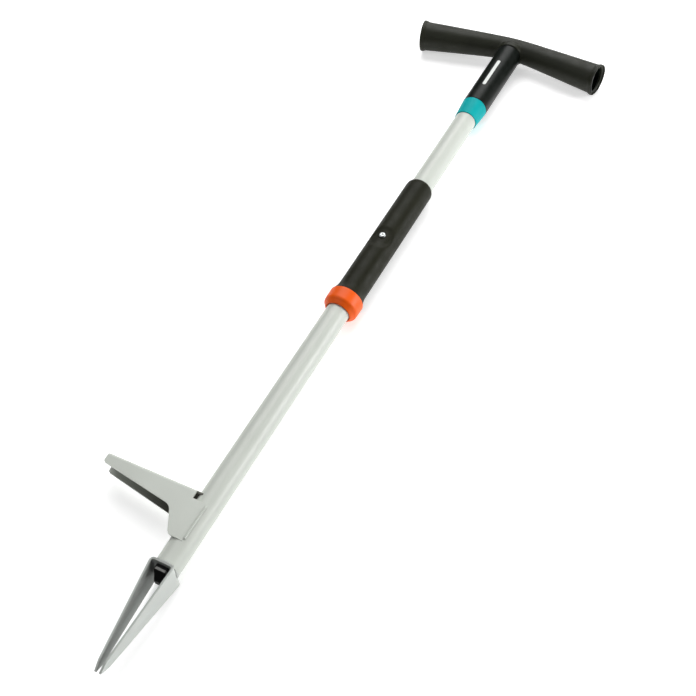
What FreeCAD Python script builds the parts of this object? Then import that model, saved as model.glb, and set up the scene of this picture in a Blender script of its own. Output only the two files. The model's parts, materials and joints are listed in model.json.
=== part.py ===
"""Stand-up weeder: a tubular shaft with a T-handle, a foot treadle and a two-pronged fork.

A sleeve with a screw through the slotted shaft slides down by hand and drives a rod,
whose wedge-shaped head pushes the pulled weed out from between the prongs.

Each piece is modelled in the shaft's frame, in millimetres: +Y runs up the shaft from the
prong tips, +X points to the right-hand end of the T-handle and +Z to the front. The tool
then lies on its back, with its origin under the middle of its length.
"""

import FreeCAD, Part

import math
import os

V = FreeCAD.Vector

# Shaft
TUBE_R = 15.0
TUBE_BORE_R = 13.5
AXIS_HEIGHT = 22.8

# Fork, one strap bent to a U
STRAP = 2.5
FORK_TOP = 123.5
FORK_HALF_WIDTH = 15.0
FORK_TIP_HALF_WIDTH = 4.0
FORK_HALF_DEPTH = 18.5
FORK_BEND_R = 5.0
WEB_HOLE_R = 4.6
POINT_LENGTH = 11.0
POINT_HALF_DEPTH = 6.4

# Foot treadle, a folded channel open towards the prongs
SHEET = 2.5
TREADLE_END_X = -131.5
TREADLE_TOP = 211.2
TREADLE_TIP_LOW = 198.4
TREADLE_HALF_DEPTH = 12.5
TREADLE_BEND_R = 3.5
FLANGE_TOP = 200.2
FLANGE_LOW = 152.2
FLANGE_REACH = 3.5
FLANGE_HALF_DEPTH = 16.2
NOTCH_X = -14.0
TONGUE_HALF_DEPTH = 13.4

# T-handle
HANDLE_HALF_SPAN = 138.8
BAR_CENTRE = 1069.1
BAR_DROP = 20.0
BAR_EASE = 22.0
BAR_R = 16.2
LENGTH = BAR_CENTRE + BAR_R
BAR_END_R = 21.4
BAR_SECTIONS = 15
LIP = 1.4
LIP_LENGTH = 1.5
LIP_FLARE = 7.0
SOFT_WALL = 2.6
HARD_WALL = 2.2
CAVITY_X = 27.0
CORE_INSET = 3.0
NECK_R = 18.5
NECK_LOW = 923.5
NECK_TOP = 1060.0
NECK_LIP = 1.3
NECK_LIP_LOW = 1053.0
POST_R = 11.0
TUBE_TOP = 1036.0
COLLAR_LOW = 892.5
COLLAR_LOW_R = 16.2
SPIGOT_R = 16.6
SPIGOT_LOW = 900.0
HANDLE_SCREW_Y = 985.0

# Sliding sleeve
TRAVEL = 45.0
RUNNING = 0.08
RING_LOW = 504.6
RING_TOP = 528.5
RING_R = 22.8
RING_LOW_R = 17.0
GRIP_TOP = 745.0
GRIP_END_R = 9.0
GRIP_BORE_R = 15.5
GRIP_R = 18.75
CORE_R = 16.6
CORE_LOW = 508.0
CORE_TOP = 740.5
SCREW_Y = 629.5
SCREW_R = 2.0
SCREW_HEAD_R = 4.25
SCREW_HEAD_LOW = 16.0
SCREW_HEAD_TOP = 19.2
SCREW_TIP = 3.6
SPACER_R = 3.5
SLOT_HALF_WIDTH = 4.0

# Push rod and the pieces on it
ROD_R = 4.0
BLOCK_R = 13.0
BLOCK_LOW = 612.0
BLOCK_TOP = 647.0
ROD_TOP = 621.0
NUT_HEIGHT = 6.5
NUT_HALF_FLATS = 6.5
HEAD_LOW = 105.5
PLATE_LOW = 114.2
PLATE_TOP = 117.2
BUFFER_TOP = 120.7
ROD_LOW = 109.0
HEAD_HALF_WIDTH = 7.2
HEAD_HALF_DEPTH = 12.8
PIN_R = 1.5
PIN_Y = 111.4
PIN_HALF_LENGTH = 5.4
GUIDE_TOP = 143.5
SPRING_TOP = 253.5
SPRING_R = 9.0
SPRING_WIRE_R = 0.6
SPRING_TURNS = 14
WASHER = 1.5
CLIP = 1.2
CLIP_GROOVE_R = 3.2

os.makedirs("parts", exist_ok=True)


def unit(v):
    return v.multiply(1.0 / v.Length)


def rounded_wire(corners, place):
    """Closed wire through (u, v) or (u, v, radius) corners, each rounded to its radius."""
    points = [V(c[0], c[1], 0) for c in corners]
    radii = [c[2] if len(c) > 2 else 0.0 for c in corners]
    count = len(points)
    arcs = []
    for i, point in enumerate(points):
        to_last = unit(points[i - 1] - point)
        to_next = unit(points[(i + 1) % count] - point)
        half = to_last.getAngle(to_next) / 2
        if radii[i] == 0:
            arcs.append((point, None, point))
            continue
        reach = radii[i] / math.tan(half)
        centre = point + unit(to_last + to_next) * (radii[i] / math.sin(half))
        middle = centre + unit(point - centre) * radii[i]
        arcs.append((point + to_last * reach, middle, point + to_next * reach))
    edges = []
    for i, (start, middle, end) in enumerate(arcs):
        if middle is not None:
            edges.append(Part.Arc(place(start), place(middle), place(end)).toShape())
        following = arcs[(i + 1) % count][0]
        if (following - end).Length > 1e-6:
            edges.append(Part.LineSegment(place(end), place(following)).toShape())
    return Part.Wire(edges)


def plate(corners, low, high):
    """Outline in X and Y, extruded along Z."""
    face = Part.Face(rounded_wire(corners, lambda p: V(p.x, p.y, low)))
    return face.extrude(V(0, 0, high - low))


def side_plate(corners, low, high):
    """Outline in Z and Y, extruded along X."""
    face = Part.Face(rounded_wire(corners, lambda p: V(low, p.y, p.x)))
    return face.extrude(V(high - low, 0, 0))


def section(corners, low, high):
    """Outline in X and Z, extruded along Y."""
    face = Part.Face(rounded_wire(corners, lambda p: V(p.x, low, p.y)))
    return face.extrude(V(0, high - low, 0))


def turned(corners):
    """Outline in radius and Y, turned about the shaft's axis."""
    face = Part.Face(rounded_wire(corners, lambda p: V(p.x, p.y, 0)))
    return face.revolve(V(0, 0, 0), V(0, 1, 0), 360)


def rod(radius, low, high):
    return Part.makeCylinder(radius, high - low, V(0, low, 0), V(0, 1, 0))


def sleeve(outer, inner, low, high):
    return rod(outer, low, high).cut(rod(inner, low - 1, high + 1))


def stud(radius, y, low, high):
    """Cylinder square to the shaft, standing along Z."""
    return Part.makeCylinder(radius, high - low, V(0, y, low), V(0, 0, 1))


def both_sides(shape):
    """The shape and its copy turned half a turn about the shaft."""
    back = shape.copy()
    back.rotate(V(0, 0, 0), V(0, 1, 0), 180)
    return [shape, back]


def mirrored(corners):
    """Corners of one side, then the same corners on the other side in reverse."""
    return corners + [(-c[0], *c[1:]) for c in reversed(corners)]


def save(name, *solids):
    """Writes the piece in the lying tool's frame."""
    shape = solids[0] if len(solids) == 1 else Part.makeCompound(solids)
    shape = shape.copy()
    shape.translate(V(0, -LENGTH / 2, AXIS_HEIGHT))
    shape.exportStep(f"parts/{name}.step")
    print(f"{name:20s} {len(shape.Solids)} solids {shape.Volume / 1000:8.2f} cm3 valid {shape.isValid()}")


def front_and_back(shape):
    """The shape and its mirror image behind the shaft."""
    return [shape, shape.mirror(V(0, 0, 0), V(0, 0, 1))]


# ---- shaft ----------------------------------------------------------------------------------


def main_tube():
    tube = sleeve(TUBE_R, TUBE_BORE_R, FORK_TOP, TUBE_TOP)
    slot_low = SCREW_Y - TRAVEL
    for y in (slot_low, SCREW_Y):
        tube = tube.cut(stud(SLOT_HALF_WIDTH, y, -TUBE_R - 1, TUBE_R + 1))
    slot = Part.makeBox(
        2 * SLOT_HALF_WIDTH, TRAVEL, 2 * TUBE_R + 2, V(-SLOT_HALF_WIDTH, slot_low, -TUBE_R - 1)
    )
    screw_hole = stud(1.9, HANDLE_SCREW_Y, -TUBE_R - 1, 0)
    return tube.cut(slot).cut(screw_hole)


# ---- fork -----------------------------------------------------------------------------------


def fork_strap():
    """The bent strap seen from the front, at full depth."""
    lean = (FORK_HALF_WIDTH - FORK_TIP_HALF_WIDTH) / FORK_TOP
    inner = [
        (FORK_TIP_HALF_WIDTH - STRAP, 0),
        (FORK_HALF_WIDTH - STRAP - lean * STRAP, FORK_TOP - STRAP, FORK_BEND_R - STRAP),
    ]
    outer = [
        (FORK_TIP_HALF_WIDTH, 0),
        (FORK_HALF_WIDTH, FORK_TOP, FORK_BEND_R),
    ]
    corners = mirrored(outer) + list(reversed(mirrored(inner)))
    return plate(corners, -FORK_HALF_DEPTH, FORK_HALF_DEPTH)


def tine_fork():
    """Each prong narrows evenly to a short leaf-shaped point."""
    side = [
        (FORK_HALF_DEPTH, FORK_TOP + 1),
        (FORK_HALF_DEPTH, FORK_TOP - FORK_BEND_R),
        (POINT_HALF_DEPTH, POINT_LENGTH, 14.0),
        (0.5, 0.0, 0.5),
    ]
    blade = side_plate(mirrored(side), -FORK_HALF_WIDTH - 1, FORK_HALF_WIDTH + 1)
    hole = rod(WEB_HOLE_R, FORK_TOP - STRAP - 1, FORK_TOP + 1)
    return fork_strap().common(blade).cut(hole)


def fork_welds():
    """Fillets in front of and behind the tube, and the filled corners over the fork's two bends."""
    leg = 2.6
    fillet = turned(
        [(TUBE_R, FORK_TOP), (TUBE_R + leg, FORK_TOP, 0.3), (TUBE_R, FORK_TOP + leg)]
    )
    reach = 10.5
    window = Part.makeBox(2 * reach, 2 * leg, FORK_HALF_DEPTH, V(-reach, FORK_TOP, 8.0))
    bend_x = FORK_HALF_WIDTH - FORK_BEND_R
    bend_y = FORK_TOP - FORK_BEND_R
    bend = Part.makeCylinder(FORK_BEND_R, 20, V(bend_x, bend_y, -10))
    corner = Part.makeBox(FORK_BEND_R, FORK_BEND_R - 1, 16, V(bend_x + 1, bend_y + 1, -8))
    corner = corner.cut(bend).common(rod(TUBE_R - 0.02, bend_y, FORK_TOP)).cut(fork_strap())
    return both_sides(fillet.common(window)) + both_sides(corner)


# ---- treadle --------------------------------------------------------------------------------


def treadle_outline():
    """Front view of the treadle, as a block deeper than the treadle."""
    end = TREADLE_END_X
    corners = [
        (end, TREADLE_TOP, 2.0),
        (NOTCH_X, TREADLE_TOP),
        (NOTCH_X, FLANGE_TOP, 1.6),
        (FLANGE_REACH, FLANGE_TOP),
        (FLANGE_REACH, FLANGE_LOW),
        (-14.95, FLANGE_LOW, 8.0),
        (-32.4, 183.3, 15.0),
        (end, TREADLE_TIP_LOW, 4.0),
    ]
    return plate(corners, -FLANGE_HALF_DEPTH - 1, FLANGE_HALF_DEPTH + 1)


def treadle_channel(inset):
    """Folded channel, filled in; its sides spread evenly from the outer end to the tube."""
    top = TREADLE_TOP - inset
    outer = TREADLE_HALF_DEPTH - inset
    inner = FLANGE_HALF_DEPTH - inset
    start = TREADLE_END_X - 1
    block = section(
        [(start, -outer), (NOTCH_X, -inner), (NOTCH_X, inner), (start, outer)],
        FLANGE_LOW - 5, top,
    )
    long_edges = [e for e in block.Edges if e.Length > NOTCH_X - TREADLE_END_X]
    bends = [e for e in long_edges if abs(e.BoundBox.YMin - top) < 1e-6]
    return block.makeFillet(TREADLE_BEND_R - inset, bends)


def foot_treadle():
    """Channel whose two flanges lap onto the tube, with a relief notch between each and the top."""
    lap = [
        (NOTCH_X, FLANGE_HALF_DEPTH),
        (-4.0, FLANGE_HALF_DEPTH, 8.0),
        (FLANGE_REACH, TUBE_R, 0.3),
        (FLANGE_REACH, TUBE_R - SHEET),
        (NOTCH_X, FLANGE_HALF_DEPTH - SHEET),
    ]
    flange = section(lap, FLANGE_LOW - 5, TREADLE_TOP)
    arm = treadle_channel(0).cut(treadle_channel(SHEET))
    body = arm.fuse(front_and_back(flange)).common(treadle_outline())
    tongue = Part.makeBox(
        -NOTCH_X, SHEET, 2 * TONGUE_HALF_DEPTH,
        V(NOTCH_X - 1, TREADLE_TOP - SHEET, -TONGUE_HALF_DEPTH),
    )
    return body.fuse(tongue).removeSplitter().cut(rod(TUBE_R, 100, 300))


def treadle_welds():
    """One low bead along the end of each flange, on the tube."""
    bead = rod(1.5, FLANGE_LOW + 3, FLANGE_TOP - 3)
    bead.translate(V(FLANGE_REACH + 0.9, 0, TUBE_R - 0.6))
    bead = bead.cut(rod(TUBE_R, 100, 300)).cut(foot_treadle())
    return front_and_back(bead)


# ---- T-handle -------------------------------------------------------------------------------


def eased(x):
    """0 at the middle of the bar and 1 at its ends, straight but for a soft bend in the middle."""
    span = math.hypot(HANDLE_HALF_SPAN, BAR_EASE) - BAR_EASE
    return (math.hypot(x, BAR_EASE) - BAR_EASE) / span


def bar_place(x):
    """Centre of the drooping bar at x, and the direction it runs in there."""
    step = 0.01
    slope = -BAR_DROP * (eased(x + step) - eased(x - step)) / (2 * step)
    return V(x, BAR_CENTRE - BAR_DROP * eased(x), 0), unit(V(1, slope, 0))


def bar_loft(inset, reach_low, reach_high, sections):
    """Round bar that swells towards its ends, thinner than the outside by the inset."""
    wires = []
    for i in range(sections):
        x = reach_low + (reach_high - reach_low) * i / (sections - 1)
        centre, along = bar_place(x)
        radius = BAR_R + (BAR_END_R - BAR_R) * eased(x) - inset
        wires.append(Part.Wire(Part.makeCircle(radius, centre, along)))
    return Part.makeLoft(wires, True, False)


def neck():
    """Socket on the tube, with a rounded top that its post joins to the bar."""
    socket = turned([
        (0, SPIGOT_LOW),
        (SPIGOT_R, SPIGOT_LOW),
        (SPIGOT_R, NECK_LOW),
        (NECK_R, NECK_LOW, 0.8),
        (NECK_R, NECK_TOP, 6.0),
        (0, NECK_TOP),
    ])
    return socket.fuse(rod(POST_R, NECK_TOP - 5, BAR_CENTRE))


def hard_bar():
    """Core of the bar, set back from both ends and hollow from there."""
    half = HANDLE_HALF_SPAN
    bar = bar_loft(SOFT_WALL, -half, half, BAR_SECTIONS)
    for side in (-1, 1):
        start, end = sorted((side * CAVITY_X, side * (half + 4)))
        bar = bar.cut(bar_loft(SOFT_WALL + HARD_WALL, start, end, 7))
    reach = half - CORE_INSET
    depth = 2 * BAR_END_R
    low = BAR_CENTRE - BAR_DROP - BAR_END_R
    return bar.common(Part.makeBox(2 * reach, LENGTH - low, depth, V(-reach, low, -depth / 2)))


def handle_body():
    body = neck().fuse(hard_bar())
    body = body.cut(rod(TUBE_R, SPIGOT_LOW - 1, TUBE_TOP))
    body = body.cut(stud(1.9, HANDLE_SCREW_Y, -NECK_R - 1, 0))
    return body.cut(stud(4.4, HANDLE_SCREW_Y, -NECK_R - 1, -NECK_R + 2.2))


def handle_soft_grip():
    """Soft sleeve over the hard bar, with a raised lip round each open end and the neck."""
    half = HANDLE_HALF_SPAN
    bar = bar_loft(0, -half, half, BAR_SECTIONS)
    for side in (-1, 1):
        end, along = bar_place(side * half)
        inward = along * (-side)
        lip_r = BAR_END_R + LIP
        rim = Part.makeCylinder(lip_r, LIP_LENGTH, end, inward)
        flare = Part.makeCone(lip_r, BAR_END_R - 0.6, LIP_FLARE, end + inward * LIP_LENGTH, inward)
        bar = bar.fuse(rim.fuse(flare))
    lip = turned([
        (0, NECK_LIP_LOW),
        (NECK_R + NECK_LIP, NECK_LIP_LOW, 0.9),
        (NECK_R + NECK_LIP, NECK_TOP, 5.0),
        (0, NECK_TOP),
    ])
    soft = bar.fuse(lip).cut(bar_loft(SOFT_WALL, -half, half, BAR_SECTIONS))
    return soft.cut(neck())


def handle_collar():
    return turned([
        (TUBE_R, COLLAR_LOW),
        (COLLAR_LOW_R, COLLAR_LOW, 0.5),
        (NECK_R, NECK_LOW, 0.8),
        (SPIGOT_R, NECK_LOW),
        (SPIGOT_R, SPIGOT_LOW),
        (TUBE_R, SPIGOT_LOW),
    ])


def pan_screw(shank_r, tip, seat, head_r, top):
    """Pan-head screw on the Z axis with a cross recess, at the shaft's origin."""
    head = Part.makeCylinder(head_r, top - seat, V(0, 0, seat))
    rim = [e for e in head.Edges if abs(e.BoundBox.ZMin - top) < 1e-6]
    head = head.makeFillet((top - seat) * 0.55, rim)
    width = 0.9
    depth = 1.6
    span = head_r * 1.1
    blade = Part.makeBox(span, width, depth, V(-span / 2, -width / 2, top - depth))
    cross = blade.copy()
    cross.rotate(V(0, 0, 0), V(0, 0, 1), 90)
    shank = Part.makeCylinder(shank_r, seat - tip, V(0, 0, tip))
    return head.fuse(shank).removeSplitter().cut(blade).cut(cross)


def handle_screw():
    screw = pan_screw(1.9, 11.0, NECK_R - 2.2, 4.0, NECK_R + 0.2)
    screw.rotate(V(0, 0, 0), V(0, 1, 0), 180)
    screw.translate(V(0, HANDLE_SCREW_Y, 0))
    return screw


# ---- sliding sleeve -------------------------------------------------------------------------


def slide_ring():
    return turned([
        (TUBE_R + 0.5, RING_LOW),
        (RING_LOW_R, RING_LOW, 0.6),
        (RING_R, RING_LOW + 6.0, 2.0),
        (RING_R, RING_TOP - 1.5, 3.0),
        (RING_R - 0.6, RING_TOP, 0.4),
        (CORE_R, RING_TOP),
        (CORE_R, CORE_LOW),
        (TUBE_R + 0.5, CORE_LOW),
    ])


def slide_core():
    core = sleeve(CORE_R, TUBE_R + RUNNING, CORE_LOW, CORE_TOP)
    bore = stud(SCREW_R, SCREW_Y, -CORE_R - 1, CORE_R + 1)
    core = core.cut(bore)
    for seat in both_sides(stud(SCREW_HEAD_R + 0.1, SCREW_Y, SCREW_HEAD_LOW, CORE_R + 1)):
        core = core.cut(seat)
    return core


def slide_grip():
    """Soft sleeve that flares into the ring below and closes in a dome above."""
    grip = turned([
        (0, RING_TOP),
        (RING_R - 1.4, RING_TOP, 0.3),
        (GRIP_R, RING_TOP + 7.0, 8.0),
        (GRIP_R, GRIP_TOP, GRIP_END_R),
        (0, GRIP_TOP),
    ])
    grip = grip.cut(rod(CORE_R, RING_TOP - 1, CORE_TOP))
    grip = grip.cut(rod(GRIP_BORE_R, CORE_TOP - 1, GRIP_TOP + 1))
    pocket = Part.makeCone(SCREW_HEAD_R + 0.4, 6.4, 3.2, V(0, SCREW_Y, 16.5), V(0, 0, 1))
    pocket = pocket.fuse(stud(SCREW_HEAD_R + 0.4, SCREW_Y, CORE_R - 2, 17))
    for cut in both_sides(pocket):
        grip = grip.cut(cut)
    return grip


def grip_screws():
    screw = pan_screw(SCREW_R, SCREW_TIP, SCREW_HEAD_LOW, SCREW_HEAD_R, SCREW_HEAD_TOP)
    screw.translate(V(0, SCREW_Y, 0))
    return both_sides(screw)


def slot_spacers():
    top = 14.6
    return both_sides(stud(SPACER_R, SCREW_Y, 10.0, top).cut(stud(SCREW_R, SCREW_Y, 9.0, 16.0)))


def thread_inserts():
    return both_sides(stud(3.1, SCREW_Y, 3.2, 10.0).cut(stud(SCREW_R, SCREW_Y, 3.0, 11.0)))


def coupling_block():
    block = rod(BLOCK_R, BLOCK_LOW, BLOCK_TOP).cut(rod(ROD_R, BLOCK_LOW - 1, ROD_TOP))
    for seat in both_sides(stud(SPACER_R, SCREW_Y, 10.0, BLOCK_R + 1)):
        block = block.cut(seat)
    for bore in both_sides(stud(3.1, SCREW_Y, 3.2, 11.0)):
        block = block.cut(bore)
    return block


# ---- push rod -------------------------------------------------------------------------------


def cross_pin(half_length):
    return Part.makeCylinder(PIN_R, 2 * half_length, V(-half_length, PIN_Y, 0), V(1, 0, 0))


def ejector_rod():
    clip_low = SPRING_TOP + WASHER
    groove = sleeve(ROD_R + 1, CLIP_GROOVE_R, clip_low, clip_low + CLIP)
    shaft = rod(ROD_R, ROD_LOW, ROD_TOP).cut(groove)
    return shaft.cut(cross_pin(ROD_R + 1))


def rod_lock_nut():
    corner = NUT_HALF_FLATS / math.cos(math.pi / 6)
    corners = [
        (corner * math.cos(i * math.pi / 3), corner * math.sin(i * math.pi / 3)) for i in range(6)
    ]
    nut = section(corners, BLOCK_LOW - NUT_HEIGHT, BLOCK_LOW)
    return nut.cut(rod(ROD_R, BLOCK_LOW - NUT_HEIGHT - 1, BLOCK_LOW + 1))


def rectangle(half_width, half_depth, y, corner_r):
    corners = [
        (-half_width, -half_depth, corner_r),
        (half_width, -half_depth, corner_r),
        (half_width, half_depth, corner_r),
        (-half_width, half_depth, corner_r),
    ]
    return rounded_wire(corners, lambda p: V(p.x, y, p.y))


def ejector_head():
    """Blunt wedge, narrowing towards the prong tips both ways."""
    wedge = Part.makeLoft(
        [
            rectangle(3.4, 4.0, HEAD_LOW, 1.0),
            rectangle(HEAD_HALF_WIDTH, HEAD_HALF_DEPTH - 0.2, PLATE_LOW, 1.0),
        ],
        True,
        True,
    )
    wedge = wedge.cut(rod(ROD_R, ROD_LOW, PLATE_LOW + 1))
    return wedge.cut(cross_pin(HEAD_HALF_WIDTH))


def head_pin():
    """Lies across the head, flush with the sides that face the prongs."""
    return cross_pin(PIN_HALF_LENGTH)


def ejector_plate():
    half = HEAD_HALF_WIDTH
    outline = rectangle(half, HEAD_HALF_DEPTH, PLATE_LOW, 1.5)
    pressing = Part.Face(outline).extrude(V(0, PLATE_TOP - PLATE_LOW, 0))
    return pressing.cut(rod(ROD_R, PLATE_LOW - 1, PLATE_TOP + 1))


def stop_buffer():
    outline = rectangle(HEAD_HALF_WIDTH + 0.2, HEAD_HALF_DEPTH - 0.2, PLATE_TOP, 2.0)
    pad = Part.Face(outline).extrude(V(0, BUFFER_TOP - PLATE_TOP, 0))
    return pad.cut(rod(ROD_R, PLATE_TOP - 1, BUFFER_TOP + 1))


def lower_rod_guide():
    return sleeve(TUBE_BORE_R, ROD_R + RUNNING, FORK_TOP, GUIDE_TOP)


def return_spring():
    wire_low = GUIDE_TOP + SPRING_WIRE_R + 0.05
    height = SPRING_TOP - SPRING_WIRE_R - 0.05 - wire_low
    helix = Part.makeHelix(height / SPRING_TURNS, height, SPRING_R)
    start = Part.Wire(Part.makeCircle(SPRING_WIRE_R, V(SPRING_R, 0, 0), V(0, 1, 0)))
    spring = Part.Wire(helix).makePipeShell([start], True, True)
    spring.rotate(V(0, 0, 0), V(1, 0, 0), -90)
    spring.translate(V(0, wire_low, 0))
    return spring


def spring_washer():
    return sleeve(12.4, ROD_R, SPRING_TOP, SPRING_TOP + WASHER)


def spring_clip():
    """Open ring snapped into the rod's groove."""
    low = SPRING_TOP + WASHER
    ring = sleeve(7.0, CLIP_GROOVE_R, low, low + CLIP)
    return ring.cut(Part.makeBox(4.4, CLIP + 2, 10.0, V(-2.2, low - 1, 0)))


save("main_tube", main_tube())
save("tine_fork", tine_fork())
save("fork_welds", *fork_welds())
save("foot_treadle", foot_treadle())
save("treadle_welds", *treadle_welds())
save("handle_body", handle_body())
save("handle_soft_grip", handle_soft_grip())
save("handle_collar", handle_collar())
save("handle_screw", handle_screw())
save("slide_ring", slide_ring())
save("slide_core", slide_core())
save("slide_grip", slide_grip())
save("grip_screws", *grip_screws())
save("slot_spacers", *slot_spacers())
save("thread_inserts", *thread_inserts())
save("coupling_block", coupling_block())
save("ejector_rod", ejector_rod())
save("rod_lock_nut", rod_lock_nut())
save("ejector_head", ejector_head())
save("head_pin", head_pin())
save("ejector_plate", ejector_plate())
save("stop_buffer", stop_buffer())
save("lower_rod_guide", lower_rod_guide())
save("return_spring", return_spring())
save("spring_washer", spring_washer())
save("spring_clip", spring_clip())
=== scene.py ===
"""Looks for the stand-up weeder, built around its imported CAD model.

The tool lies on its back on a pale table, under large soft lamps. Painted steel, moulded plastic,
rubber and plated steel are procedural materials. Sheet-metal and moulded pieces are finer meshes,
with eased edges or soft forms, that stand for their CAD nodes.
"""

import json
import math

import bmesh
import bpy
from mathutils import Matrix, Vector, noise

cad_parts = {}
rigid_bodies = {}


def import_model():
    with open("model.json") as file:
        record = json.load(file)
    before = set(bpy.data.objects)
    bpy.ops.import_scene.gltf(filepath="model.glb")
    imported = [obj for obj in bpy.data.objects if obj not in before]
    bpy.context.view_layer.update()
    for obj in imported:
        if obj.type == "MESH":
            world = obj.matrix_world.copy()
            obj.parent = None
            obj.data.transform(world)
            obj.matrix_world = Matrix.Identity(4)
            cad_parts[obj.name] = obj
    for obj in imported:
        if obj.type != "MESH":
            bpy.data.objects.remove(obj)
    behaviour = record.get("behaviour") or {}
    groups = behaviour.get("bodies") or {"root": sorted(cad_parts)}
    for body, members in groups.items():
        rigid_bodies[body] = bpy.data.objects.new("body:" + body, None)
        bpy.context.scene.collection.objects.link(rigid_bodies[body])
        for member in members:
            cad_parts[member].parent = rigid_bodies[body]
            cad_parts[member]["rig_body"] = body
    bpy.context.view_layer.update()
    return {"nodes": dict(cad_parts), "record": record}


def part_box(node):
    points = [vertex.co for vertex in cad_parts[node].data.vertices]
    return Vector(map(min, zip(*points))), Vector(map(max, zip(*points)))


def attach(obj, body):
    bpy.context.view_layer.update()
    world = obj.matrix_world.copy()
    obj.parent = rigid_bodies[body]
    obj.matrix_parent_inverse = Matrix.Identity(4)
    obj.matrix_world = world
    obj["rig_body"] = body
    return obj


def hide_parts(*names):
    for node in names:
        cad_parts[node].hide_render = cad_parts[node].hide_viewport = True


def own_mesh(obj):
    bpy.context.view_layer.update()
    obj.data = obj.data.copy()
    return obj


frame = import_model()
nodes = frame["nodes"]
slots = {part["node"]: part["material_slot"] for part in frame["record"]["subparts"]}
bodies = {name: nodes[name]["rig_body"] for name in nodes}

# Points below are given in the shaft's frame: millimetres, y from the prong tips up the shaft,
# x and z from the shaft's axis.
MM = 0.001
TIPS_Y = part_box("tine_fork")[0].y
AXIS_Z = (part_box("main_tube")[0].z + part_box("main_tube")[1].z) / 2
TUBE_R = 15.0


def at(x, y, z):
    """A point of the shaft's frame, in the row frame's metres."""
    return Vector((x * MM, y * MM + TIPS_Y, z * MM + AXIS_Z))


def reach(node):
    """Where a node starts and ends along the shaft, in the shaft's frame."""
    low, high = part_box(node)
    return (low.y - TIPS_Y) / MM, (high.y - TIPS_Y) / MM


def radius(node):
    """Half of a node's width, in millimetres."""
    low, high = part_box(node)
    return (high.x - low.x) / 2 / MM


def ease(t):
    """0 to 1, level at both ends."""
    t = min(1.0, max(0.0, t))
    return t * t * (3 - 2 * t)


# ---- materials ------------------------------------------------------------------------------


class Finish:
    """A material's node tree, with short names for the nodes it is built from."""

    def __init__(self, name, roughness, metallic=0.0, specular=0.5, coat=0.0):
        self.material = bpy.data.materials.new(name)
        self.material.use_nodes = True
        self.tree = self.material.node_tree
        self.shader = self.tree.nodes["Principled BSDF"]
        self.shader.inputs["Roughness"].default_value = roughness
        self.shader.inputs["Metallic"].default_value = metallic
        self.shader.inputs["Specular IOR Level"].default_value = specular
        self.shader.inputs["Coat Weight"].default_value = coat
        self.place = self.node("ShaderNodeTexCoord").outputs["Object"]

    def node(self, kind, **values):
        made = self.tree.nodes.new(kind)
        for name, value in values.items():
            setattr(made, name, value)
        return made

    def join(self, output, target):
        self.tree.links.new(output, target)

    def axes(self):
        """Object coordinates, which are the row frame's metres, as sockets X, Y and Z."""
        split = self.node("ShaderNodeSeparateXYZ")
        self.join(self.place, split.inputs["Vector"])
        return split.outputs

    def stretched(self, scale):
        """Object coordinates drawn out along one axis or more."""
        mapping = self.node("ShaderNodeMapping")
        mapping.inputs["Scale"].default_value = scale
        self.join(self.place, mapping.inputs["Vector"])
        return mapping.outputs["Vector"]

    def noise(self, scale, detail=3.0, roughness=0.5, stretch=None):
        made = self.node("ShaderNodeTexNoise")
        made.inputs["Scale"].default_value = scale
        made.inputs["Detail"].default_value = detail
        made.inputs["Roughness"].default_value = roughness
        self.join(self.stretched(stretch) if stretch else self.place, made.inputs["Vector"])
        return made.outputs["Fac"]

    def cells(self, scale):
        made = self.node("ShaderNodeTexVoronoi", feature="SMOOTH_F1")
        made.inputs["Scale"].default_value = scale
        made.inputs["Smoothness"].default_value = 0.6
        self.join(self.place, made.inputs["Vector"])
        return made.outputs["Distance"]

    def span(self, value, low, high, start=0.3, end=0.7):
        """The value's range from start to end, spread over low to high and held beyond them."""
        made = self.node("ShaderNodeMapRange")
        self.join(value, made.inputs["Value"])
        made.inputs["From Min"].default_value = start
        made.inputs["From Max"].default_value = end
        made.inputs["To Min"].default_value = low
        made.inputs["To Max"].default_value = high
        return made.outputs["Result"]

    def maths(self, operation, first, second=None):
        """A sum on a socket, with a second socket or number where the operation takes one."""
        made = self.node("ShaderNodeMath", operation=operation)
        self.join(first, made.inputs[0])
        if isinstance(second, float):
            made.inputs[1].default_value = second
        elif second is not None:
            self.join(second, made.inputs[1])
        return made.outputs["Value"]

    def mix(self, factor, first, second):
        """A colour between the first and the second, each a colour or a socket."""
        made = self.node("ShaderNodeMix", data_type="RGBA")
        self.join(factor, made.inputs["Factor"])
        for value, name in ((first, "A"), (second, "B")):
            socket = [s for s in made.inputs if s.name == name and s.type == "RGBA"][0]
            if isinstance(value, tuple):
                socket.default_value = (*value, 1.0)
            else:
                self.join(value, socket)
        return [s for s in made.outputs if s.type == "RGBA"][0]

    def colour(self, value):
        self.join(value, self.shader.inputs["Base Color"])

    def roughness(self, value):
        self.join(value, self.shader.inputs["Roughness"])

    def bump(self, *layers):
        """Layers of (height socket, depth in millimetres)."""
        normal = None
        for height, depth in layers:
            made = self.node("ShaderNodeBump")
            made.inputs["Strength"].default_value = 1.0
            made.inputs["Distance"].default_value = depth * MM
            self.join(height, made.inputs["Height"])
            if normal:
                self.join(normal, made.inputs["Normal"])
            normal = made.outputs["Normal"]
        self.join(normal, self.shader.inputs["Normal"])


def shade(colour, factor):
    return tuple(min(1.0, c * factor) for c in colour)


def dress(mesh, material):
    """Gives a mesh this material and no other."""
    mesh.materials.clear()
    mesh.materials.append(material)


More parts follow.
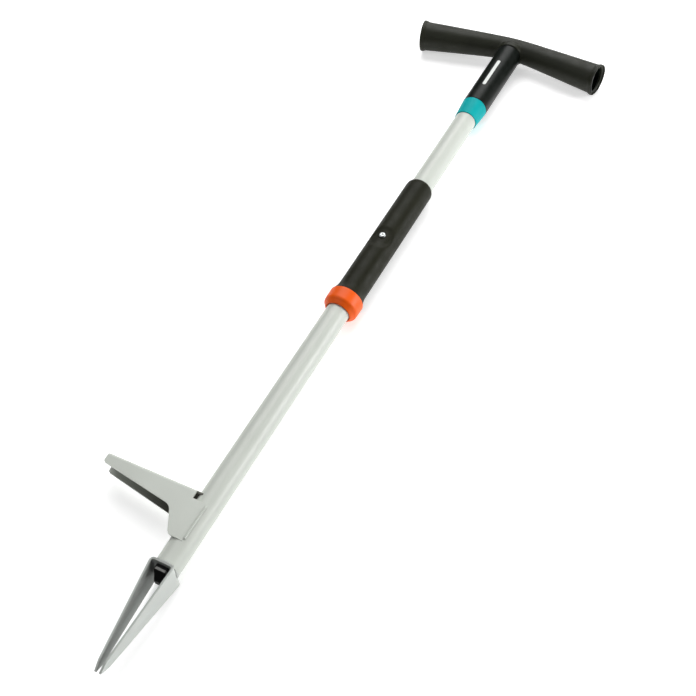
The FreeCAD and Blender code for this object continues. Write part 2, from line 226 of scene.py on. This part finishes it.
def satin_paint(name, colour, roughness):
    """Satin paint with a fine orange peel: its finish, and its faintly clouded colour."""
    f = Finish(name, roughness, specular=0.4, coat=0.08)
    cloud = f.span(f.noise(11.0, 4.0), 0.0, 1.0)
    f.roughness(f.span(f.noise(55.0, 5.0), roughness - 0.05, roughness + 0.06))
    f.bump((f.noise(620.0, 2.0), 0.035), (f.noise(2600.0, 2.0), 0.008))
    return f, f.mix(cloud, shade(colour, 0.95), shade(colour, 1.04))


def powder_coat(name, colour, roughness):
    """Satin paint with a few darker specks."""
    f, tone = satin_paint(name, colour, roughness)
    speck = f.span(f.noise(1500.0, 1.0), 0.0, 0.35, 0.70, 0.78)
    f.colour(f.mix(speck, tone, shade(colour, 0.6)))
    return f.material


def folded_paint(name, colour, roughness):
    """Paint for the treadle, with painted shade inside the fold.

    The fold's walls draw together towards its free end. The inside is all that lies closer to the
    middle plane than a line along the walls, and its painted shade deepens towards the tube.
    """
    f, tone = satin_paint(name, colour, roughness)
    low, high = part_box("foot_treadle")
    edge = 0.3 * MM
    wall_end, wall_root, root_x = 10.3 * MM, 14.0 * MM, at(-14.0, 0, 0).x
    shade_from, shade_to = at(-122, 0, 0).x, at(-38, 0, 0).x
    # Painted shade: the inside of the fold is darkened towards this colour, most near the tube.
    painted_shade_colour = (0.050, 0.048, 0.034)
    axes = f.axes()
    wall = f.span(axes["X"], wall_end, wall_root, low.x, root_x)
    off = f.maths("ABSOLUTE", f.maths("SUBTRACT", axes["Z"], AXIS_Z))
    within = f.span(f.maths("SUBTRACT", off, wall), 1.0, 0.0, 0.0, edge)
    under = f.span(axes["Y"], 1.0, 0.0, high.y - 2 * edge, high.y - edge)
    painted_shade = f.maths("MULTIPLY", within, under)
    depth = f.span(axes["X"], 0.35, 0.97, shade_from, shade_to)
    f.colour(f.mix(f.maths("MULTIPLY", painted_shade, depth), tone, painted_shade_colour))
    return f.material


def fork_coat(name, colour, roughness):
    """Paint for the fork, with painted shade on the inner faces of its prongs."""
    f, tone = satin_paint(name, colour, roughness)
    tip_gap, web_gap, web_y = 1.8 * MM, 12.8 * MM, TIPS_Y + 121.0 * MM
    axes = f.axes()
    gap = f.span(axes["Y"], tip_gap, web_gap, TIPS_Y, web_y)
    past_gap = f.maths("SUBTRACT", f.maths("ABSOLUTE", axes["X"]), gap)
    # Painted shade between the prongs: their inner faces are darkened.
    inner = f.span(past_gap, 0.8, 0.0, 0.0, 0.3 * MM)
    f.colour(f.mix(inner, tone, shade(colour, 0.55)))
    return f.material


def mould_grain(f, roughness, grain):
    """Spark-eroded grain, a little smoother or duller in patches."""
    f.roughness(f.span(f.noise(140.0, 4.0), roughness - 0.06, roughness + 0.06))
    f.bump((f.noise(1700.0, 3.0), grain), (f.noise(160.0, 2.0), 0.02))


def moulded(name, colour, roughness, specular=0.5, grain=0.02):
    """Moulded plastic with slight flow clouding and a little dust."""
    f = Finish(name, roughness, specular=specular)
    cloud = f.span(f.noise(26.0, 4.0), 0.0, 1.0)
    tone = f.mix(cloud, shade(colour, 0.93), shade(colour, 1.06))
    dust = f.span(f.noise(900.0, 3.0, 0.7), 0.0, 0.08, 0.62, 0.80)
    f.colour(f.mix(dust, tone, tuple(min(1.0, c + 0.08) for c in colour)))
    mould_grain(f, roughness, grain)
    return f.material


def round_ended(f, middle_y, half_length, half_width):
    """1 on a round-ended stripe along the shaft's front and 0 elsewhere, in metres."""
    edge = 0.15 * MM
    axes = f.axes()
    off = f.maths("SUBTRACT", axes["Y"], middle_y)
    past_end = f.maths("SUBTRACT", f.maths("ABSOLUTE", off), half_length)
    corner = f.node("ShaderNodeCombineXYZ")
    f.join(axes["X"], corner.inputs["X"])
    f.join(f.maths("MAXIMUM", past_end, 0.0), corner.inputs["Y"])
    distance = f.node("ShaderNodeVectorMath", operation="LENGTH")
    f.join(corner.outputs["Vector"], distance.inputs[0])
    inside = f.span(distance.outputs["Value"], 1.0, 0.0, half_width - edge, half_width + edge)
    front = f.span(axes["Z"], 0.0, 1.0, AXIS_Z, AXIS_Z + edge)
    return f.maths("MULTIPLY", inside, front)


def printed_neck(name, roughness):
    """Hard black for the handle, with a plain white stripe printed on the front of its neck."""
    f = Finish(name, roughness, specular=0.16)
    cloud = f.span(f.noise(26.0, 4.0), 0.0, 1.0)
    black = f.mix(cloud, (0.0030, 0.0048, 0.0034), (0.0034, 0.0055, 0.0038))
    stripe = round_ended(f, at(0, 985, 0).y, 27 * MM, 2.4 * MM)
    f.colour(f.mix(stripe, black, (0.72, 0.74, 0.72)))
    mould_grain(f, roughness, 0.008)
    return f.material


def soft_touch(name, colour, roughness, specular):
    """Rubbery overmoulding: pebbled grain, rubbed slightly smooth in patches."""
    f = Finish(name, roughness, specular=specular)
    rub = f.span(f.noise(30.0, 4.0), 0.0, 1.0, 0.35, 0.68)
    tone = f.mix(rub, shade(colour, 0.88), shade(colour, 1.12))
    pebbles = f.cells(1150.0)
    f.colour(f.mix(f.span(pebbles, 0.0, 1.0, 0.1, 0.55), shade(colour, 0.78), tone))
    f.roughness(f.span(f.noise(75.0, 5.0), roughness - 0.07, roughness + 0.08))
    f.bump((pebbles, 0.05), (f.noise(2800.0, 2.0), 0.015))
    return f.material


def metal(name, colour, roughness, stretch, spotted):
    """Plated or drawn metal: fine marks in one direction and a cloudy passivated film."""
    f = Finish(name, roughness, metallic=1.0)
    lines = f.noise(700.0, 4.0, stretch=stretch)
    film = f.span(f.noise(160.0, 4.0), 0.0, 1.0)
    tone = f.mix(film, shade(colour, 0.86), shade(colour, 1.08))
    spots = f.span(f.noise(420.0, 3.0), 0.0, spotted, 0.55, 0.8)
    f.colour(f.mix(spots, tone, shade(colour, 0.45)))
    f.roughness(f.span(lines, roughness - 0.08, roughness + 0.1))
    f.bump((lines, 0.012))
    return f.material


SHAFT_GREY = (0.56, 0.59, 0.54)
PAINT_ROUGHNESS = 0.42

materials = {
    "shaft_paint": powder_coat("shaft_paint", SHAFT_GREY, PAINT_ROUGHNESS),
    "fork_paint": fork_coat("fork_paint", (0.53, 0.56, 0.53), PAINT_ROUGHNESS),
    "hard_black": moulded("hard_black", (0.0032, 0.0052, 0.0036), 0.38, 0.16, 0.008),
    "soft_black": soft_touch("soft_black", (0.0110, 0.0116, 0.0046), 0.50, 0.13),
    "teal_plastic": moulded("teal_plastic", (0.0, 0.36, 0.375), 0.5, 0.10),
    "orange_plastic": moulded("orange_plastic", (0.87, 0.110, 0.003), 0.40, 0.22),
    "white_nylon": moulded("white_nylon", (0.72, 0.70, 0.64), 0.5),
    "ejector_black": moulded("ejector_black", (0.004, 0.004, 0.004), 0.5, 0.10),
    "buffer_rubber": soft_touch("buffer_rubber", (0.012, 0.012, 0.012), 0.8, 0.2),
    "zinc_steel": metal("zinc_steel", (0.44, 0.46, 0.46), 0.30, (1, 1, 6), 0.3),
    "spring_steel": metal("spring_steel", (0.15, 0.15, 0.145), 0.42, (5, 5, 1), 0.4),
    "brass_insert": metal("brass_insert", (0.72, 0.50, 0.21), 0.3, (1, 1, 5), 0.3),
}

# Nodes that look a little different from the rest of their slot: the treadle with painted shade
# inside its fold, the neck with its print, and the bar as a lighter copy for painted light.
node_finishes = {
    "foot_treadle": folded_paint("treadle_shaded_paint", SHAFT_GREY, PAINT_ROUGHNESS),
    "handle_body": printed_neck("printed_black", 0.38),
    # Painted light: a lighter copy of soft black, standing in for light falling on the bar's face.
    "handle_soft_grip": soft_touch("bar_black_lit", (0.0165, 0.0180, 0.0105), 0.48, 0.2),
}


def finish_of(node):
    return node_finishes.get(node, materials[slots[node]])


# ---- mesh helpers ---------------------------------------------------------------------------


def smooth(mesh):
    for polygon in mesh.polygons:
        polygon.use_smooth = True


def stand_in(name, mesh, node):
    """Puts a finished mesh in the place of a CAD node, in its finish and on its body."""
    piece = bpy.data.objects.new(name, mesh)
    bpy.context.scene.collection.objects.link(piece)
    dress(mesh, finish_of(node))
    smooth(mesh)
    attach(piece, bodies[node])
    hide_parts(node)
    return piece


def keep_flats(piece):
    """Flat faces keep their own normals, so only the eased edges and curves shade smoothly."""
    weights = piece.modifiers.new("weighted", "WEIGHTED_NORMAL")
    weights.keep_sharp = True
    weights.weight = 60


def eased(name, node, edge):
    """The CAD node with its sharp edges rounded over, edge in millimetres."""
    flat, sharp = math.radians(0.4), math.radians(32.0)
    bm = bmesh.new()
    bm.from_mesh(nodes[node].data)
    bmesh.ops.remove_doubles(bm, verts=bm.verts, dist=0.002 * MM)
    bmesh.ops.dissolve_limit(bm, angle_limit=flat, verts=bm.verts, edges=bm.edges)
    edges = [e for e in bm.edges if len(e.link_faces) == 2 and e.calc_face_angle() > sharp]
    bmesh.ops.bevel(bm, geom=edges, offset=edge * MM, offset_type="OFFSET", segments=2,
                    profile=0.5, affect="EDGES", clamp_overlap=True, harden_normals=False)
    mesh = bpy.data.meshes.new(name)
    bm.to_mesh(mesh)
    bm.free()
    keep_flats(stand_in(name, mesh, node))


def grid_mesh(name, rows, closed_rows=True):
    """Quads between rows of points, each row a closed ring; rows may close on each other too."""
    count = len(rows[0])
    faces = []
    last = len(rows) if closed_rows else len(rows) - 1
    for i in range(last):
        for j in range(count):
            following = (j + 1) % count
            a, b = i * count, ((i + 1) % len(rows)) * count
            faces.append((a + j, a + following, b + following, b + j))
    mesh = bpy.data.meshes.new(name)
    mesh.from_pydata([p for row in rows for p in row], [], faces)
    mesh.update()
    return mesh


def outward(mesh, end_sides=0):
    """Turns every face of a closed mesh to the outside; end_sides first closes an open tube."""
    bm = bmesh.new()
    bm.from_mesh(mesh)
    if end_sides:
        bm.verts.ensure_lookup_table()
        bm.faces.new([bm.verts[i] for i in range(end_sides)])
        bm.faces.new([bm.verts[len(bm.verts) - 1 - i] for i in range(end_sides)])
    bmesh.ops.recalc_face_normals(bm, faces=bm.faces)
    bm.to_mesh(mesh)
    bm.free()
    return mesh


def turns(count):
    """Equal angles round a circle."""
    return [2 * math.pi * i / count for i in range(count)]


def turned_mesh(name, outline, count=160):
    """A closed outline (r, y) turned about the shaft's axis."""
    rows = [[at(r * math.sin(a), y, r * math.cos(a)) for a in turns(count)] for r, y in outline]
    return outward(grid_mesh(name, rows))


def arc(centre, radius_mm, start, end, steps):
    """Points (r, y) round a centre, angles in degrees from the +r direction."""
    points = []
    for i in range(steps + 1):
        angle = math.radians(start + (end - start) * i / steps)
        points.append((centre[0] + radius_mm * math.cos(angle),
                       centre[1] + radius_mm * math.sin(angle)))
    return points


def line(start, end, steps):
    """Points from start to end, without the last one."""
    return [(start[0] + (end[0] - start[0]) * i / steps, start[1] + (end[1] - start[1]) * i / steps)
            for i in range(steps)]


# ---- sliding grip ---------------------------------------------------------------------------

SCREW_Y = sum(reach("grip_screws")) / 2
SCREW_HEAD_R = radius("grip_screws")
CORE_R = radius("slide_core")
GRIP_LOW = reach("slide_grip")[0]
GRIP_CREST = 745.0
GRIP_BORE_R = 15.5
GRIP_END_R = 9.0
GRIP_R = 18.75
FLARE_HEIGHT = 15.0
HOLLOW_REACH = 34
SCREW_REACH = 9


def grip_flare(foot_r):
    """Curve (r, y) from the wide foot up to the straight body."""
    start_r, start_y = foot_r - 0.05, GRIP_LOW + 0.7
    steps, hollowness = 12, 1.8
    points = []
    for i in range(1, steps + 1):
        t = i / steps
        points.append((GRIP_R + (start_r - GRIP_R) * (1 - t) ** hollowness,
                       start_y + (GRIP_LOW + FLARE_HEIGHT - start_y) * t))
    return points


def grip_body(top_y):
    """Straight side (r, y), closer together round the thumb hollow and closest at the screw."""
    stops = [(GRIP_LOW + FLARE_HEIGHT, 14), (SCREW_Y - HOLLOW_REACH, 28), (SCREW_Y - SCREW_REACH, 44),
             (SCREW_Y + SCREW_REACH, 28), (SCREW_Y + HOLLOW_REACH, 16), (top_y, 0)]
    points = []
    for (low, steps), (high, _) in zip(stops, stops[1:]):
        points += line((GRIP_R, low), (GRIP_R, high), steps)
    return points[1:]


def grip_outline():
    """Closed outline (r, y) of the soft sleeve: flared foot, straight body, domed top, bore."""
    foot_r = radius("slide_ring") - 0.7
    foot = [(foot_r - 0.35, GRIP_LOW)]
    foot += arc((foot_r - 0.45, GRIP_LOW + 0.45), 0.45, -60, 25, 4)
    dome_centre = (GRIP_R - GRIP_END_R, GRIP_CREST - GRIP_END_R)
    lip_angle = math.degrees(math.acos((GRIP_BORE_R + 0.35 - dome_centre[0]) / GRIP_END_R))
    dome = arc(dome_centre, GRIP_END_R, 0, lip_angle, 14)
    lip_top = dome[-1][1]
    mouth = [(GRIP_BORE_R + 0.1, lip_top - 0.05), (GRIP_BORE_R, lip_top - 0.4)]
    core_top = reach("slide_core")[1]
    inside = [(GRIP_BORE_R, core_top + 0.02), (CORE_R, core_top), (CORE_R, GRIP_LOW)]
    return foot + grip_flare(foot_r) + grip_body(dome_centre[1]) + dome + mouth + inside


def thumb_rest(x, y):
    """How far the grip sinks round its screw, for a thumb: a hollow that ends in a firm edge."""
    half_length, half_width, below_screw = 20.0, 15.0, 3.0
    depth, slope = 2.0, 0.8
    share = ((y - SCREW_Y + below_screw) / half_length) ** 2 + abs(x / half_width) ** 3
    return depth * ease(max(0.0, 1 - share) / slope)


def screw_well(x, y):
    """Height of the wall round the screw head, or of the floor that the head sits on."""
    floor_r, wall_steepness = SCREW_HEAD_R + 1.2, 2.6 / 0.3
    floor_z = CORE_R + 0.05
    return floor_z + max(0.0, math.hypot(x, y - SCREW_Y) - floor_r) * wall_steepness


def grip_point(r, y, angle):
    """Point of the sleeve, sunk for the thumb and the screw head at the front and the back."""
    x, z = r * math.sin(angle), r * math.cos(angle)
    if r > CORE_R + 0.5 and abs(y - SCREW_Y) < 30:
        side = 1 if z > 0 else -1
        z -= side * thumb_rest(x, y)
        blend = 0.12
        well, height = screw_well(x, y), abs(z)
        share = max(0.0, 1 - abs(well - height) / blend)
        z = side * (min(well, height) - blend * share * share / 4)
    return at(x, y, z)


def grip_sleeve():
    """The soft sleeve, with its points drawn together at the front and the back."""
    angles = [turn - 0.30 * math.sin(2 * turn) for turn in turns(176)]
    rows = [[grip_point(r, y, a) for a in angles] for r, y in grip_outline()]
    stand_in("grip_sleeve", outward(grid_mesh("grip_sleeve", rows)), "slide_grip")


# ---- T-handle -------------------------------------------------------------------------------

BAR_HALF = 138.8
BAR_CENTRE_Y = 1069.1
BAR_DROP = 20.0
BAR_EASE = 22.0
BAR_R = 16.2
BAR_END_R = 21.4
BAR_RIM = 1.4
SOFT_WALL = 2.6
NECK_R = 18.5
NECK_TOP_Y = 1060.0


def bar_share(x):
    """0 at the middle of the bar and 1 at its ends."""
    return (math.hypot(x, BAR_EASE) - BAR_EASE) / (math.hypot(BAR_HALF, BAR_EASE) - BAR_EASE)


def bar_ring(x):
    """Centre of the bar at x, and a function that turns an angle into a direction across the bar.

    At 0 the direction points away from the neck, and at 90 degrees to the tool's front.
    """
    step = 0.01
    rise = -BAR_DROP * (bar_share(x + step) - bar_share(x - step)) / (2 * step)
    along = Vector((1, rise, 0)).normalized()
    across = Vector((-along.y, along.x, 0))
    centre = Vector((x, BAR_CENTRE_Y - BAR_DROP * bar_share(x), 0))
    return centre, lambda angle: across * math.cos(angle) + Vector((0, 0, 1)) * math.sin(angle)


def bar_radius(x):
    """The bar's outer radius without its rims."""
    return BAR_R + (BAR_END_R - BAR_R) * bar_share(x)


def rim_swell(x):
    """The bar's flare into the raised lip at its open ends."""
    lip, flare, round_over, cut_back = 2.6, 5.0, 1.2, 0.55
    inward = BAR_HALF - abs(x)
    swell = BAR_RIM * (1 - ease((inward - lip) / flare))
    if inward < round_over:
        swell -= cut_back * (1 - math.sqrt(max(0.0, 1 - (1 - inward / round_over) ** 2)))
    return swell


def neck_collar_distance(p):
    """Distance to the rounded collar of soft plastic round the top of the neck."""
    half, rounding, collar_r = 4.6, 0.8, NECK_R + 1.25
    middle_y = NECK_TOP_Y - 2.6
    dr = math.hypot(p.x, p.z) - (collar_r - rounding)
    dy = abs(p.y - middle_y) - (half - rounding)
    return math.hypot(max(dr, 0), max(dy, 0)) + min(max(dr, dy), 0) - rounding


def bar_skin(x, angle, skin_radius):
    """Point of the bar's skin, swollen where it runs into the collar round the neck."""
    centre, direction = bar_ring(x)
    out = direction(angle)
    if abs(x) > 40 or math.cos(angle) > 0.3:
        return centre + out * skin_radius
    blend, search_from, step = 2.6, 14.0, 0.25

    def skin(t):
        bar, collar = t - skin_radius, neck_collar_distance(centre + out * t)
        share = max(0.0, 1 - abs(bar - collar) / blend)
        return min(bar, collar) - blend * share * share / 4

    t = skin_radius + search_from
    while skin(t) > 0 and t > skin_radius - 0.5:
        t -= step
    low, high = t, t + step
    for _ in range(14):
        middle = (low + high) / 2
        low, high = (low, middle) if skin(middle) > 0 else (middle, high)
    return centre + out * low


def bar_stations():
    """Places along the bar, closer together at the rims and beside the neck."""
    rim_steps = (0, 0.15, 0.4, 0.8, 1.2, 1.8, 2.6, 3.5, 4.5, 5.6, 6.8, 8.0, 9.4, 11)
    half = [BAR_HALF - step for step in rim_steps]
    x = half[-1]
    while x > 0.6:
        x -= 0.8 if x < 36 else 2.4
        half.append(max(x, 0.0))
    half[-1] = 0.0
    return [-v for v in half[:-1]] + list(reversed(half))


def bar_bore(x):
    """Radius of the sleeve's bore, which opens out at the rims."""
    mouth_depth, mouth_slope, rim_wall = 2.0, 1.2, 1.2
    opening = (SOFT_WALL + BAR_RIM - rim_wall) * (
        1 - ease((BAR_HALF - abs(x) - mouth_depth) / mouth_slope))
    return bar_radius(x) - SOFT_WALL + opening


def bar_sleeve():
    """The soft sleeve of the T-bar, open at both ends."""
    angles = turns(144)
    stations = bar_stations()
    rows = [[bar_skin(x, a, bar_radius(x) + rim_swell(x)) for a in angles] for x in stations]
    for x in reversed(stations):
        centre, direction = bar_ring(x)
        rows.append([centre + direction(a) * bar_bore(x) for a in angles])
    rows = [[at(*p) for p in row] for row in rows]
    stand_in("bar_sleeve", outward(grid_mesh("bar_sleeve", rows)), "handle_soft_grip")


# ---- welds, ring and spring -----------------------------------------------------------------


def weld(name, node, along):
    """The CAD node as a run of weld, rippled along its length."""
    voxel, smoothing = 0.32 * MM, 3
    pitch, depth, unevenness, lumps_per_mm = 1.7, 0.16, 0.6, 0.9
    mesh = nodes[node].data.copy()
    mesh.name = name
    piece = stand_in(name, mesh, node)
    remesh = piece.modifiers.new("even", "REMESH")
    remesh.mode = "VOXEL"
    remesh.voxel_size = voxel
    rounded = piece.modifiers.new("rounded", "SMOOTH")
    rounded.iterations = smoothing
    depsgraph = bpy.context.evaluated_depsgraph_get()
    even = bpy.data.meshes.new_from_object(piece.evaluated_get(depsgraph))
    piece.modifiers.clear()
    for vertex in even.vertices:
        p = (vertex.co - at(0, 0, 0)) / MM
        ripple = math.cos(2 * math.pi * along(p) / pitch)
        ripple += unevenness * noise.noise(p * lumps_per_mm)
        vertex.co += vertex.normal * depth * ripple * MM
    dress(even, finish_of(node))
    smooth(even)
    piece.data = even


def ring_sleeve():
    """The orange ring: a cup with a full, rounded shoulder over a short cone."""
    low, high = reach("slide_ring")
    bore, seat_y = TUBE_R + 0.5, reach("slide_core")[0]
    wide, shoulder, inset = radius("slide_ring"), 5.5, 0.3
    centre = (wide - inset - shoulder, low + 8.6)
    outline = [(bore, low + 0.3), (bore + 0.3, low)] + arc((17.0, low + 0.5), 0.5, -90, -50, 4)
    outline += line(outline[-1], arc(centre, shoulder, -50, 0, 1)[0], 4)[1:]
    outline += arc(centre, shoulder, -50, 0, 16)
    outline += line((wide - inset, centre[1]), (wide, high - 2.2), 10)[1:]
    outline += arc((wide - 0.9, high - 0.9), 0.9, 0, 90, 8)
    outline += [(CORE_R, high), (CORE_R, seat_y), (bore, seat_y)]
    stand_in("ring_sleeve", turned_mesh("ring_sleeve", outline), "slide_ring")


def coil_spring():
    """The return spring, which is pressed together as the sleeve slides down."""
    low, high = reach("return_spring")
    wire = 0.6
    mean = radius("return_spring") - wire
    coils, steps, sides = 14, 40, 8
    rows = []
    for i in range(coils * steps + 1):
        turn = i / steps
        y = low + wire + (high - low - 2 * wire) * turn / coils
        angle = 2 * math.pi * turn
        row = []
        for around in turns(sides):
            r = mean + wire * math.cos(around)
            row.append(at(r * math.sin(angle), y + wire * math.sin(around), r * math.cos(angle)))
        rows.append(row)
    mesh = outward(grid_mesh("coil_spring", rows, closed_rows=False), end_sides=sides)
    piece = stand_in("coil_spring", mesh, "return_spring")
    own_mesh(piece)


# ---- floor, light and camera ----------------------------------------------------------------

# Each softbox: its place in metres, its width and height in metres, and its power in watts.
SOFTBOXES = {
    "key": ((-0.6, 1.6, 2.3), 2.6, 1.8, 66.0),
    "rim": ((-0.2, 2.7, 1.25), 2.0, 0.7, 20.0),
    "fill": ((2.1, 1.0, 0.6), 1.2, 1.1, 42.0),
    "front": ((-0.9, -1.4, 2.1), 2.4, 2.0, 18.0),
}
CAMERA_PLACE = (0.4581, -0.7532, 1.0274)
CAMERA_RIGHT = Vector((0.8853, 0.46072, -0.06316))
CAMERA_UP = Vector((-0.32856, 0.71588, 0.61609))
LENS_MM = 55.53
SENSOR_MM = 36.0


def floor():
    """A pale, slightly uneven table top with a little light of its own."""
    half_size, squares, glow = 4.0, 48, 0.55
    bm = bmesh.new()
    bmesh.ops.create_grid(bm, x_segments=squares, y_segments=squares, size=half_size)
    mesh = bpy.data.meshes.new("studio_table")
    bm.to_mesh(mesh)
    bm.free()
    table = bpy.data.objects.new("studio_table", mesh)
    bpy.context.scene.collection.objects.link(table)
    f = Finish("studio_table", 0.9, specular=0.1)
    f.colour(f.mix(f.noise(3.0, 4.0), (0.84, 0.84, 0.84), (0.87, 0.87, 0.87)))
    f.shader.inputs["Emission Color"].default_value = (1.0, 1.0, 1.0, 1.0)
    f.shader.inputs["Emission Strength"].default_value = glow
    f.bump((f.noise(400.0, 3.0), 0.02))
    mesh.materials.append(f.material)


def softbox(name, place, width, height, power):
    """A rectangular lamp that faces the tool's middle."""
    lamp = bpy.data.lights.new(name, "AREA")
    lamp.shape = "RECTANGLE"
    lamp.size = width
    lamp.size_y = height
    lamp.energy = power
    box = bpy.data.objects.new(name, lamp)
    box.location = place
    box.rotation_euler = (-Vector(place)).to_track_quat("-Z", "Y").to_euler()
    bpy.context.scene.collection.objects.link(box)


def sky():
    """Studio room: bright overhead, dim at the walls."""
    wall_light, ceiling_light, ceiling_height = 0.3, 0.95, 0.9
    world = bpy.data.worlds.new("studio")
    world.use_nodes = True
    tree = world.node_tree
    place = tree.nodes.new("ShaderNodeTexCoord")
    height = tree.nodes.new("ShaderNodeSeparateXYZ")
    ramp = tree.nodes.new("ShaderNodeMapRange")
    ramp.inputs["From Min"].default_value = 0.0
    ramp.inputs["From Max"].default_value = ceiling_height
    ramp.inputs["To Min"].default_value = wall_light
    ramp.inputs["To Max"].default_value = ceiling_light
    tree.links.new(place.outputs["Generated"], height.inputs["Vector"])
    tree.links.new(height.outputs["Z"], ramp.inputs["Value"])
    tree.links.new(ramp.outputs["Result"], tree.nodes["Background"].inputs["Strength"])
    bpy.context.scene.world = world


def camera():
    """Stands off the tips' right-hand side and looks down along the tool."""
    back = CAMERA_RIGHT.cross(CAMERA_UP).normalized()
    up = back.cross(CAMERA_RIGHT).normalized()
    lens = bpy.data.cameras.new("camera")
    lens.sensor_width = SENSOR_MM
    lens.lens = LENS_MM
    lens.clip_start = 0.05
    eye = bpy.data.objects.new("camera", lens)
    turn = Matrix((CAMERA_RIGHT.normalized(), up, back)).transposed()
    eye.matrix_world = Matrix.Translation(CAMERA_PLACE) @ turn.to_4x4()
    bpy.context.scene.collection.objects.link(eye)
    bpy.context.scene.camera = eye


# ---- build ----------------------------------------------------------------------------------

# Pieces that keep their CAD shape: name, node, and edge radius in millimetres.
EASED_PIECES = (
    ("fork_eased", "tine_fork", 0.45),
    ("treadle_eased", "foot_treadle", 0.4),
    ("shaft_eased", "main_tube", 0.25),
    ("collar_eased", "handle_collar", 0.3),
    ("plate_eased", "ejector_plate", 0.5),
    ("head_eased", "ejector_head", 0.4),
    ("buffer_eased", "stop_buffer", 0.5),
    ("screws_eased", "grip_screws", 0.12),
    ("handle_screw_eased", "handle_screw", 0.12),
    ("lock_nut_eased", "rod_lock_nut", 0.3),
)

for name in slots:
    dress(nodes[name].data, finish_of(name))

grip_sleeve()
bar_sleeve()
for name, node, edge in EASED_PIECES:
    eased(name, node, edge)
weld("fork_beads", "fork_welds", lambda p: TUBE_R * math.atan2(p.x, p.z))
weld("treadle_beads", "treadle_welds", lambda p: p.y)
ring_sleeve()
coil_spring()

floor()
sky()
for name, settings in SOFTBOXES.items():
    softbox(name, *settings)
camera()
bpy.context.scene.view_settings.view_transform = "Standard"
